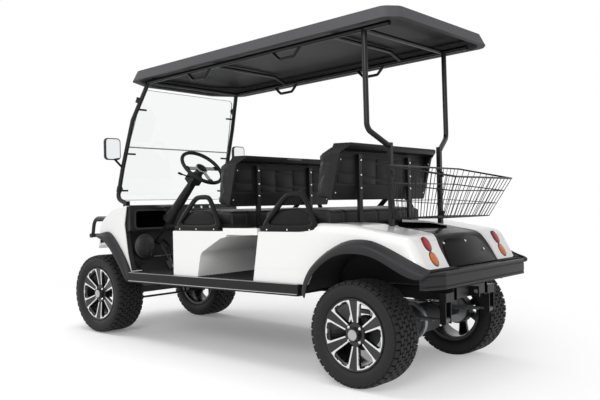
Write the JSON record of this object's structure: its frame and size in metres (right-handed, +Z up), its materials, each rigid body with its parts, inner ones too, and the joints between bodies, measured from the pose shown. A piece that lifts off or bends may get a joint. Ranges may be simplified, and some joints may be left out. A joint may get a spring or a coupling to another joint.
{
  "type": "four-seat electric golf cart",
  "caption": "Lifted electric golf cart with a long roof, two bench seats, folding-style windshield, steered front wheels and a wire basket at the back.",
  "frame": {"origin": "on the ground under the middle of the cart", "axes": "+X forward, +Y left, +Z up"},
  "size_m": [3.2542, 1.414, 2.0718],
  "materials": {
    "white_body": "glossy moulded body panels",
    "black_plastic": "textured moulded plastic",
    "roof_plastic": "charcoal textured roof moulding",
    "black_steel": "black powder coat",
    "axle_steel": "painted axle castings",
    "spring_steel": "bare spring steel",
    "tyre_rubber": "all-terrain tyre",
    "wheel_alloy": "black wheel with machined edges",
    "vinyl": "seat vinyl",
    "floor_rubber": "ribbed floor mat",
    "acrylic": "clear acrylic windshield",
    "lamp_lens": "tail lamp lens",
    "clear_lens": "headlamp lens",
    "battery_case": "battery case"
  },
  "bodies": {
    "chassis": {"armrests": "black_plastic", "basket": "black_steel", "battery": "battery_case", "brush_guard": "black_steel", "chassis_frame": "black_steel", "dashboard": "black_plastic", "fender_flares": "black_plastic", "floor_pan": "floor_rubber", "front_axle": "black_steel", "front_cowl": "white_body", "front_pillars": "black_steel", "front_seat_box": "white_body", "headlamps": "clear_lens", "leaf_springs": "spring_steel", "mirrors": "black_plastic", "pedals": "black_steel", "rear_access_panel": "black_plastic", "rear_axle": "axle_steel", "rear_body": "white_body", "rear_bumper": "black_plastic", "rear_posts": "black_steel", "roof": "roof_plastic", "roof_rails": "black_steel", "seat_back_front": "vinyl", "seat_back_rear": "vinyl", "seat_cushion_front": "vinyl", "seat_cushion_rear": "vinyl", "seat_shells": "black_plastic", "seat_struts": "black_steel", "sills": "black_plastic", "steering_column": "black_plastic", "tail_lamps": "lamp_lens", "windshield": "acrylic"},
    "steering_wheel": {"steering_wheel": "black_plastic"},
    "knuckle_left": {"knuckle_left": "axle_steel"},
    "knuckle_right": {"knuckle_right": "axle_steel"},
    "tie_rod": {"tie_rod": "black_steel"},
    "wheel_front_left": {"tyre_front_left": "tyre_rubber", "rim_front_left": "wheel_alloy"},
    "wheel_front_right": {"tyre_front_right": "tyre_rubber", "rim_front_right": "wheel_alloy"},
    "wheel_rear_left": {"tyre_rear_left": "tyre_rubber", "rim_rear_left": "wheel_alloy"},
    "wheel_rear_right": {"tyre_rear_right": "tyre_rubber", "rim_rear_right": "wheel_alloy"}
  },
  "joints": [
    {"name": "steer_left", "type": "hinge", "parent": "chassis", "child": "knuckle_left", "pos_m": [1.25545, 0.355, 0.292], "axis": [0, 0, 1], "range_deg": [-30, 30]},
    {"name": "steer_right", "type": "hinge", "parent": "chassis", "child": "knuckle_right", "pos_m": [1.25545, -0.355, 0.292], "axis": [0, 0, 1], "range_deg": [-30, 30]},
    {"name": "steer_wheel", "type": "hinge", "parent": "chassis", "child": "steering_wheel", "pos_m": [0.44769, 0.27, 1.23266], "axis": [-0.6921, 0, 0.7218], "range_deg": [-360, 360]},
    {"name": "tie_rod_left", "type": "hinge", "parent": "knuckle_left", "child": "tie_rod", "pos_m": [1.12546, 0.355, 0.262], "axis": [0, 0, 1], "range_deg": [-30, 30]},
    {"name": "roll_front_left", "type": "hinge", "parent": "knuckle_left", "child": "wheel_front_left", "pos_m": [1.25545, 0.492, 0.292], "axis": [0, 1, 0], "continuous": true},
    {"name": "roll_front_right", "type": "hinge", "parent": "knuckle_right", "child": "wheel_front_right", "pos_m": [1.25545, -0.492, 0.292], "axis": [0, 1, 0], "continuous": true},
    {"name": "roll_rear_left", "type": "hinge", "parent": "chassis", "child": "wheel_rear_left", "pos_m": [-1.15254, 0.539, 0.292], "axis": [0, 1, 0], "continuous": true},
    {"name": "roll_rear_right", "type": "hinge", "parent": "chassis", "child": "wheel_rear_right", "pos_m": [-1.15254, -0.539, 0.292], "axis": [0, 1, 0], "continuous": true}
  ],
  "couplings": [
    {"joint": "steer_right", "follows": "steer_left", "ratio": 1},
    {"joint": "steer_wheel", "follows": "steer_left", "ratio": 12},
    {"joint": "tie_rod_left", "follows": "steer_left", "ratio": -1}
  ]
}
